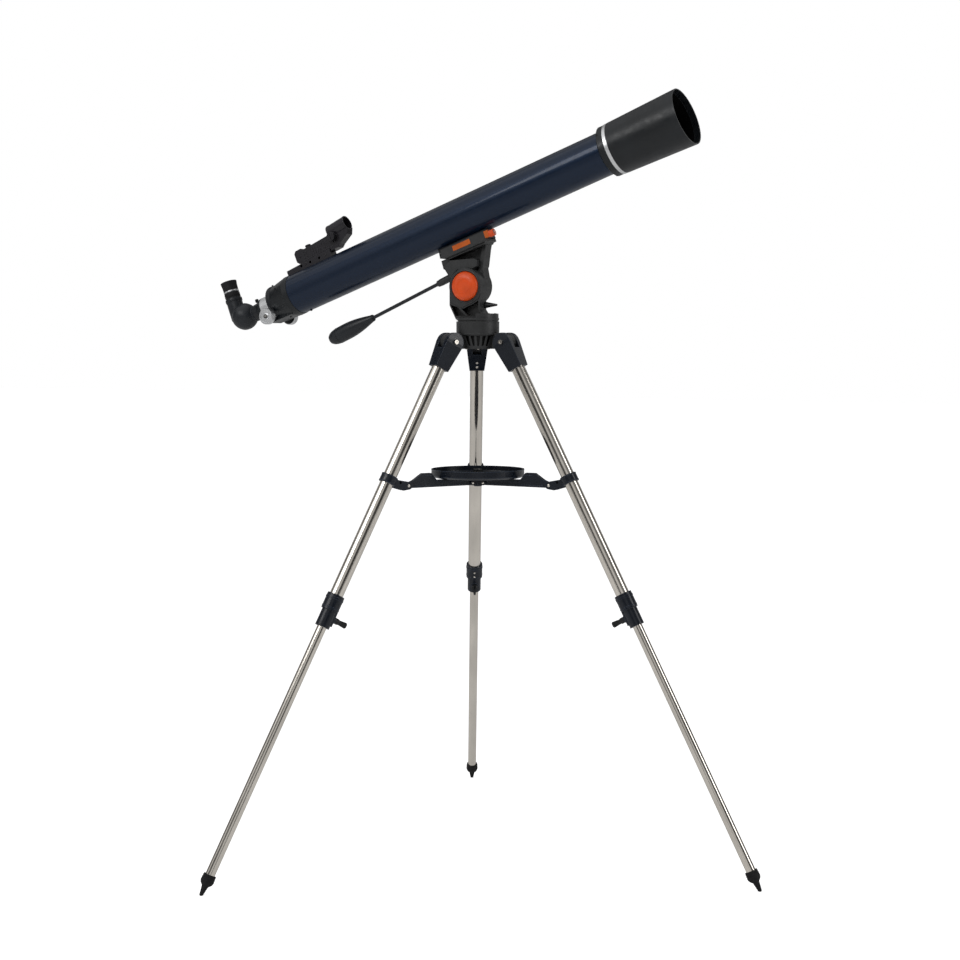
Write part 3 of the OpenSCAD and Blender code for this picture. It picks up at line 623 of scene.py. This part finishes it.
# The orange caps and the lips round them, out from the faces they stand on
CAP_FACE = 39.9
CAP_RING = [(0, 17.0), (0.45, 16.8), (0.45, 15.4), (0, 15.2)]
CAP_LIP = [(0, 39.2), (1.0, 38.8), (1.5, 37.8), (1.5, 36.6), (0, 35.6)]
CAP_SIDES = (
    # name, side, body, and the face that the lip stands on
    ("near", -1, "fork_body", 28.3),
    ("far", 1, "cradle_body", 26.8),
)
# The turntable and the pan lock, above the ground
TURNTABLE_SCREWS = ((38, 16), (38, -16))
TURNTABLE_Z, LOCK_AXIS_Z = 1281.4, 1301.5
LOCK_BAND = (23.1, 2.6, 7.1)
# The handle, along its rod from the socket
FERRULE_X = -198
FERRULE = [(-4, 7.6), (-3.4, 8.8), (0.5, 8.2), (1.4, 7.2), (1.8, 4.6)]
GRIP_BANDS = [(-318 + 3.2 * k, 0.8, 15.6 + 1.1 * k) for k in range(5)]


def head_pieces():
    washers = Piece("clamp_washer", "clamp_knob_body", "bright")
    washers.turned(along_x(shifted(CRADLE, y=CLAMP_Y, z=CLAMP_Z), CLAMP_X), CLAMP_WASHER, segments=32)
    washers.done()
    screws = Piece("saddle_screws", "cradle_body", "bright")
    for x in SADDLE_SCREWS:
        screws.screw(on_side(CRADLE, x, SADDLE_SCREW_Z, 1, SADDLE_FACE), radius=2.6, height=1.1)
    screws.screw(facing_back(CRADLE, SPINE_SCREW_X, SPINE_SCREW_Z), radius=2.4, height=1.0)
    screws.done()
    rails = Piece("saddle_rails", "cradle_body", "charcoal")
    for side in SIDES:
        rails.rib(CRADLE, SADDLE_RAIL, side, SADDLE_FACE, 0.5, bevel=0.3)
    rails.ring(turned(CRADLE, "X", 90), FAR_RING)
    rails.done()
    for name, side, body, _ in CAP_SIDES:
        rings = Piece(f"cap_rings_{name}", body, "orange")
        rings.ring(on_side(CAPS, 0, 0, side, CAP_FACE), CAP_RING, segments=72)
        rings.done()
    for name, side, body, face in CAP_SIDES:
        lip = Piece(f"cap_lip_{name}", body, "charcoal")
        lip.ring(on_side(CAPS, 0, 0, side, face), CAP_LIP)
        lip.done()
    base = Piece("turntable_screws", "fork_body", "bright")
    for x, y in TURNTABLE_SCREWS:
        base.screw(shifted(ROW, x, y, TURNTABLE_Z), radius=2.6, height=1.2)
    base.done()
    grip = Piece("lock_grip", "azimuth_lock_body", "black")
    grip.band(along_x(shifted(ROW, z=LOCK_AXIS_Z)), *LOCK_BAND, segments=48, teeth=12)
    grip.done()
    ferrule = Piece("grip_ferrule", "handle_body", "paint")
    ferrule.turned(along_x(HANDLE, FERRULE_X), FERRULE)
    for band in GRIP_BANDS:
        ferrule.band(along_x(HANDLE), *band)
    ferrule.done()


# Along the tube's axis, from its origin
SHADE_LINING = [(541.4, 60.9), (389.0, 56.2), (386.6, 51.2), (370, 51.2),
                (370, 50.9), (387.0, 50.8), (389.3, 55.8), (541.4, 60.5)]
LENS_RING = [(368.6, 50.6), (372.4, 50.6), (373.4, 49.4), (373.4, 46.8), (371.6, 45.2), (368.6, 45.2)]
# A stud under the tube and a screw over the focuser, as x, angle and radius
STUD_PLACE, TOP_SCREW_PLACE = (-518, 180, 49.8), (-606, 0, 43.6)
SCREW_TURNS = (175, 295, 55)
CELL_SCREW_X, CELL_RADIUS = 361, 58.4
HOUSING_SCREW_X, HOUSING_RADIUS = -578, 45.9
DOVETAIL_SCREW_X, DOVETAIL_SCREW_Z, DOVETAIL_FACE = -43.6, 95, 16.4
HOUSING_BANDS = ((-606.4, 2.6, 44.4), (-548, 8, 50.9))
GEARBOX_SIDE = [(-628, -42), (-566, -42), (-566, -33), (-628, -33)]
GEARBOX_PLATES = ((-24.6, -24.1), (24.1, 24.6))


def tube_pieces():
    axis = along_x(TUBE)
    lining = Piece("shade_lining", "tube_body", "flocked_and_hole_shade")
    lining.ring(axis, SHADE_LINING)
    lining.done()
    cell = Piece("lens_ring", "tube_body", "paint")
    cell.ring(axis, LENS_RING)
    cell.done()
    screws = Piece("tube_screws", "tube_body", "black")
    screws.rivet(round_x(TUBE, *STUD_PLACE), radius=3.4, height=3.4)
    screws.screw(round_x(TUBE, *TOP_SCREW_PLACE), radius=2.4, height=4.2)
    for degrees in SCREW_TURNS:
        screws.screw(round_x(TUBE, CELL_SCREW_X, degrees, CELL_RADIUS), radius=2.6, height=1.4)
        screws.screw(round_x(TUBE, HOUSING_SCREW_X, degrees, HOUSING_RADIUS), radius=3.0, height=1.6)
    for side in SIDES:
        screws.screw(on_side(CRADLE, DOVETAIL_SCREW_X, DOVETAIL_SCREW_Z, side, DOVETAIL_FACE),
                     radius=1.8, height=1.0)
    screws.done()
    flange = Piece("focuser_bands", "tube_body", "paint")
    for band in HOUSING_BANDS:
        flange.band(axis, *band, segments=96)
    for low, high in GEARBOX_PLATES:
        flange.prism(TUBE, GEARBOX_SIDE, low, high, bevel=0.2)
    flange.done()


# The focus shaft's place under the tube, and the profile of a wheel out from the tube's middle
SHAFT_X, SHAFT_Z = -615, -32
WHEEL = [(38, 3.1), (38, 8.6), (38.6, 9), (42, 9), (42, 18.8), (43, 20), (56, 20), (57.6, 18.8),
         (57.6, 16.2), (55.6, 15.2), (55.4, 8.4), (56.8, 7.6), (57.4, 6.4), (57.4, 3.1)]
WHEEL_BACK = [(41.2, 9.2), (41.2, 17.6), (41.9, 18.2), (41.9, 9.2)]
WHEEL_CENTRE = [(56.4, 3.2), (56.4, 5.6), (57.9, 5.2), (57.9, 3.2)]
BACK_SCREW_X = -664
BACK_SCREW = [(24.4, 3.7), (25, 4.4), (31, 4.4), (31.8, 3.6)]
BACK_BAND, NOSE_BAND = (-645.9, 2.1, 28.0), (-678, 1.6, 20.2)
# The middle of the diagonal's rounded corner, and its seam
CORNER_X, CORNER_Z = -712, 4
SEAM_BAND = (0, 0.7, 33.75)
# The eyepiece's axis crosses the tube's here, and its bands stand along it
EYEPIECE_X = -730
SOCKET_BAND, GRIP_BAND, SILVER_BAND = (53.5, 3.3, 21.5), (66.4, 6, 19.7), (76.7, 2.1, 19.5)
EYE_LENS = [(77.2, 8.9), (78.4, 8.9), (79.6, 7.2), (80.3, 4.8), (80.6, 2.0)]


def focus_pieces():
    axis, eye = along_x(TUBE), shifted(TUBE, x=EYEPIECE_X)
    knobs = Piece("focus_wheels", "focus_body", "silver")
    faces = Piece("focus_wheel_faces", "focus_body", "black")
    for side in SIDES:
        place = on_side(TUBE, SHAFT_X, SHAFT_Z, side, 0)
        knobs.turned(place, WHEEL, segments=120, teeth=60, depth=0.7, toothed=(5, 6), loop=True)
        faces.ring(place, WHEEL_BACK, segments=64)
        faces.ring(place, WHEEL_CENTRE, segments=40)
    knobs.done("focus_knobs")
    faces.done()
    back = Piece("back_screw", "drawtube_body", "paint")
    back.turned(shifted(TUBE, x=BACK_SCREW_X), BACK_SCREW, teeth=16, depth=0.5, toothed=(1, 2))
    back.band(axis, *BACK_BAND, segments=96, teeth=48)
    back.done()
    band = Piece("nose_band", "diagonal", "satin")
    band.band(axis, *NOSE_BAND)
    band.done()
    seam = Piece("diagonal_seam", "diagonal", "satin")
    seam.band(on_side(TUBE, CORNER_X, CORNER_Z, 1, 0), *SEAM_BAND, segments=96)
    seam.band(eye, *SOCKET_BAND, segments=96, teeth=48)
    seam.done()
    ring = Piece("eyepiece_band", "eyepiece", "silver")
    ring.band(eye, *SILVER_BAND)
    ring.done()
    grip = Piece("eyepiece_grip", "eyepiece", "rubber")
    grip.band(eye, *GRIP_BAND, segments=96, teeth=32)
    grip.done()
    lens = Piece("eye_lens", "eyepiece", "glass", LENS_SHARP_ANGLE)
    lens.turned(eye, EYE_LENS)
    lens.done()


# In the finder's frame, and along its barrel
FINDER_FACE, FINDER_RIB_HALF = 12.2, 0.5
FINDER_RIBS = (-38, -31, -17, -10, -3, 4, 11, 18, 25, 32)
FINDER_UPRIGHT = [(-0.8, 2), (0.8, 2), (0.8, 20), (-0.8, 20)]
FINDER_RAIL = [(-42, -2.4), (38, -2.4), (38, -0.6), (-42, -0.6)]
BARREL_Z, BARREL_DROOP = 31, -3
BARREL_BANDS = (48.3, 98.7)
FINDER_GLASS = [(54, 15.8), (55.2, 15.8), (55.6, 10), (55.8, 4)]
# x, z and face of the finder's screws, then x along the tube of its bracket's
FINDER_SCREWS = ((-54, 12, 10), (44, -2, 12))
BRACKET_SCREWS, BRACKET_Z, BRACKET_FACE = (-486, -424), 58, 13
DIAL_X, DIAL_Z, DIAL_FACE = 56, 18, 17.6
DIAL_BAND, AIM_BAND = (2.8, 2.8, 11.5), (31.8, 1.8, 7.4)


def finder_pieces():
    ribs = Piece("finder_ribs", "tube_body", "gloss")
    for side in SIDES:
        for x in FINDER_RIBS:
            ribs.rib(shifted(FINDER, x=x), FINDER_UPRIGHT, side, FINDER_FACE, FINDER_RIB_HALF, bevel=0.3)
        ribs.rib(FINDER, FINDER_RAIL, side, FINDER_FACE, FINDER_RIB_HALF, bevel=0.3)
    barrel = along_x(turned(shifted(FINDER, z=BARREL_Z), "Y", BARREL_DROOP))
    for x in BARREL_BANDS:
        ribs.band(barrel, x, 1.9, 18.5)
    ribs.done()
    glass = Piece("finder_glass", "tube_body", "glass", LENS_SHARP_ANGLE)
    glass.turned(barrel, FINDER_GLASS, segments=64)
    glass.done()
    screws = Piece("finder_screws", "tube_body", "gloss")
    for side in SIDES:
        for x, z, face in FINDER_SCREWS:
            screws.screw(on_side(FINDER, x, z, side, face), radius=2.4, height=1.1)
        for x in BRACKET_SCREWS:
            screws.screw(on_side(TUBE, x, BRACKET_Z, side, BRACKET_FACE), radius=2.6, height=1.1)
    screws.done()
    dial = Piece("dial_knurl", "finder_dial_body", "black")
    dial.band(on_side(FINDER, DIAL_X, DIAL_Z, -1, DIAL_FACE), *DIAL_BAND, segments=96, teeth=24)
    dial.done()
    knob = Piece("adjuster_knurl", "finder_adjuster_body", "black")
    knob.band(shifted(FINDER, x=AIM_X), *AIM_BAND, segments=72, teeth=18)
    knob.done()


for leg in LEGS:
    leg_pieces(leg)
tray_pieces()
hub_pieces()
head_pieces()
tube_pieces()
focus_pieces()
finder_pieces()

# ---- camera, light and stage ----

LENS_MM, SENSOR_MM = 68.3, 36.0
CAMERA_PLACE = (2.063, -3.773, 1.223)
CAMERA_TILT, CAMERA_TURN = 85.56, 28.6
FAR_CLIP = 60

# The studio as reflections see it: tall panels round the walls, and one level overhead
PANELS, PANEL_TURN = 5, 0.9
PANEL_EDGE = (-0.3, 0.6)
WALL_DARK, WALL_BRIGHT = 0.03, 0.5
OVERHEAD, OVERHEAD_START, OVERHEAD_FULL = 0.26, 0.25, 0.8

FLOOR_HALF = 30
FLOOR_COLOUR = (0.88, 0.88, 0.88)
# The floor shines this much to the camera only, so that it ends as pale as the walls
FLOOR_GLOW = 0.75


def make_camera():
    data = bpy.data.cameras.new("camera")
    data.lens = LENS_MM
    data.sensor_width = SENSOR_MM
    data.clip_end = FAR_CLIP
    camera = bpy.data.objects.new("camera", data)
    camera.location = CAMERA_PLACE
    camera.rotation_euler = (math.radians(CAMERA_TILT), 0, math.radians(CAMERA_TURN))
    bpy.context.scene.collection.objects.link(camera)
    bpy.context.scene.camera = camera


def make_world():
    """White to the camera; grey walls with a few tall light panels to everything else."""
    world = bpy.data.worlds.new("studio")
    bpy.context.scene.world = world
    world.use_nodes = True
    tree = world.node_tree
    tree.nodes.clear()
    new, link = tree.nodes.new, tree.links.new
    place = new("ShaderNodeTexCoord")
    split = new("ShaderNodeSeparateXYZ")
    link(place.outputs["Generated"], split.inputs["Vector"])
    azimuth = new("ShaderNodeMath")
    azimuth.operation = "ARCTAN2"
    link(split.outputs["Y"], azimuth.inputs[0])
    link(split.outputs["X"], azimuth.inputs[1])
    panels = new("ShaderNodeMath")
    panels.operation = "SINE"
    spin = new("ShaderNodeMath")
    spin.operation = "MULTIPLY_ADD"
    spin.inputs[1].default_value = PANELS
    spin.inputs[2].default_value = PANEL_TURN
    link(azimuth.outputs[0], spin.inputs[0])
    link(spin.outputs[0], panels.inputs[0])
    walls = new("ShaderNodeMapRange")
    walls.interpolation_type = "SMOOTHSTEP"
    walls.inputs["From Min"].default_value, walls.inputs["From Max"].default_value = PANEL_EDGE
    walls.inputs["To Min"].default_value = WALL_DARK
    walls.inputs["To Max"].default_value = WALL_BRIGHT
    link(panels.outputs[0], walls.inputs["Value"])
    high = new("ShaderNodeMapRange")
    high.interpolation_type = "SMOOTHSTEP"
    high.inputs["From Min"].default_value = OVERHEAD_START
    high.inputs["From Max"].default_value = OVERHEAD_FULL
    link(split.outputs["Z"], high.inputs["Value"])
    blend = new("ShaderNodeMix")
    blend.inputs["B"].default_value = OVERHEAD
    link(high.outputs["Result"], blend.inputs["Factor"])
    link(walls.outputs["Result"], blend.inputs["A"])
    seen = new("ShaderNodeLightPath")
    level = new("ShaderNodeMix")
    level.inputs["B"].default_value = 1.0
    link(seen.outputs["Is Camera Ray"], level.inputs["Factor"])
    link(blend.outputs["Result"], level.inputs["A"])
    background = new("ShaderNodeBackground")
    background.inputs["Color"].default_value = (1, 1, 1, 1)
    link(level.outputs["Result"], background.inputs["Strength"])
    output = new("ShaderNodeOutputWorld")
    link(background.outputs["Background"], output.inputs["Surface"])


def add_light(name, kind, direction, **settings):
    data = bpy.data.lights.new(name, kind)
    for key, value in settings.items():
        setattr(data, key, value)
    light = bpy.data.objects.new(name, data)
    light.rotation_euler = Vector(direction).to_track_quat("-Z", "Y").to_euler()
    bpy.context.scene.collection.objects.link(light)
    return light


def add_panel(name, place, aim, size, power):
    light = add_light(name, "AREA", Vector(aim) - Vector(place),
                      shape="RECTANGLE", size=size[0], size_y=size[1], energy=power)
    light.location = place


def make_stage():
    data = bpy.data.meshes.new("floor")
    half = FLOOR_HALF
    corners = [(-half, -half, 0), (half, -half, 0), (half, half, 0), (-half, half, 0)]
    data.from_pydata(corners, [], [(0, 1, 2, 3)])
    floor = bpy.data.objects.new("floor", data)
    paint = Paint("floor", FLOOR_COLOUR, roughness=0.9)
    paint.tint(paint.spread(paint.noise(scale=3, detail=2)), low=0.99, high=1.01)
    seen = paint.node("ShaderNodeLightPath").outputs["Is Camera Ray"]
    paint.shader.inputs["Emission Color"].default_value = (1, 1, 1, 1)
    glow = paint.spread(seen, high=FLOOR_GLOW, start=0, end=1)
    paint.link(glow, paint.shader.inputs["Emission Strength"])
    data.materials.append(paint.material)
    bpy.context.scene.collection.objects.link(floor)
    add_light("sky_light", "SUN", (0.25, 0.35, -1), energy=0.62, angle=math.radians(80))
    add_panel("key_panel", place=(-1.2, -3.4, 3.2), aim=(0, 0, 1.4), size=(2.2, 1.2), power=34)
    add_panel("side_panel", place=(3.4, 0.4, 2.2), aim=(0, 0, 1.2), size=(0.8, 2.4), power=20)


make_camera()
make_world()
make_stage()
bpy.context.scene.view_settings.view_transform = "Standard"
